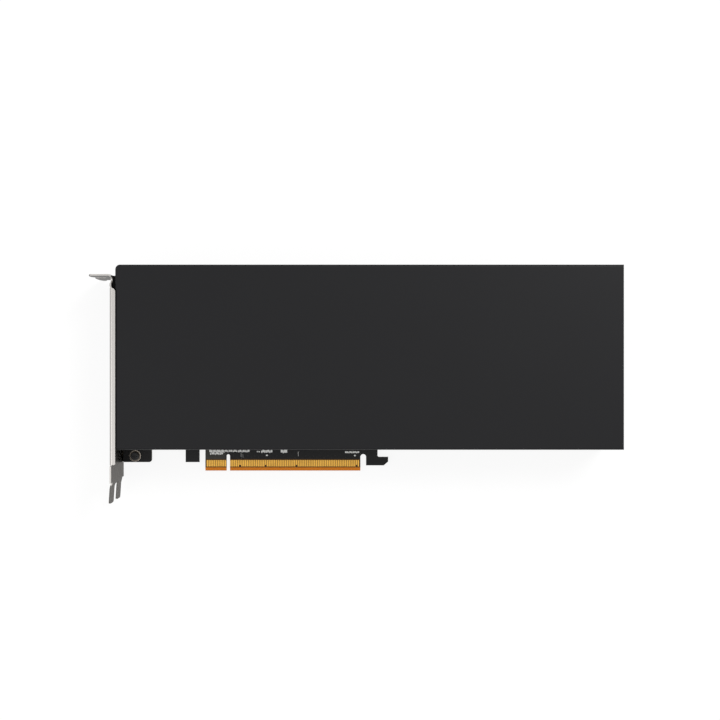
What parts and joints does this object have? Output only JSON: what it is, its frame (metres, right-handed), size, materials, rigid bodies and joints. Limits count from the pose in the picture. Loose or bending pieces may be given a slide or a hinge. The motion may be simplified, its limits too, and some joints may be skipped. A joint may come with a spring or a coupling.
{
  "type": "passive accelerator card",
  "caption": "Fanless accelerator card for a server: plain black shroud over a finned heat sink, two-slot bracket, edge connector and rear power inlet.",
  "frame": {"origin": "middle of the card's footprint on the surface it lies on; the backplate's outer face and the bracket's rear edge lie in the plane z = 0", "axes": "+X along the card from the bracket to its tail, +Y from the edge tongue to the top edge of the board, +Z out through the face of the shroud"},
  "size_m": [0.2792, 0.1256, 0.0387],
  "materials": {
    "shroud": "fine matte black coat",
    "backplate": "fine matte black coat",
    "bracket": "smooth bright nickel-plated sheet",
    "washer": "bright plated",
    "black_screw": "black oxide",
    "screw": "plain zinc plate",
    "spring_steel": "satin spring steel",
    "board": "black solder mask, semi-gloss",
    "gold": "bright hard gold plating",
    "cast_frame": "black anodised casting",
    "sink_base": "milled plate",
    "fins": "bright rolled sheet",
    "film": "thin black film",
    "substrate": "green laminate",
    "silicon": "polished silicon",
    "stiffener": "satin nickel plate",
    "thermal_pad": "soft grey pad",
    "pad": "black foam rubber",
    "inductor": "pressed grey ferrite",
    "chip": "moulded black package",
    "capacitor": "bright can",
    "connector": "moulded black nylon",
    "pin": "tin-plated pin"
  },
  "bodies": {
    "root": {"circuit_board": "board", "edge_contacts_front": "gold", "edge_contacts_back": "gold", "mounting_bracket": "bracket", "bracket_washers": "washer", "bracket_screws": "black_screw", "shroud": "shroud", "shroud_screws": "black_screw", "base_frame": "cast_frame", "backplate": "backplate", "insulating_film": "film", "board_screws": "black_screw", "package_substrate": "substrate", "processor_die": "silicon", "memory_stacks": "silicon", "package_stiffener": "stiffener", "thermal_interface": "thermal_pad", "heatsink_base": "sink_base", "heatsink_fins": "fins", "retention_plate": "spring_steel", "retention_pad": "pad", "retention_screws": "screw", "power_inductors": "inductor", "inductor_pads": "thermal_pad", "power_stages": "chip", "polymer_capacitors": "capacitor", "support_chips": "chip", "power_connector": "connector", "power_pins": "pin"}
  },
  "joints": []
}
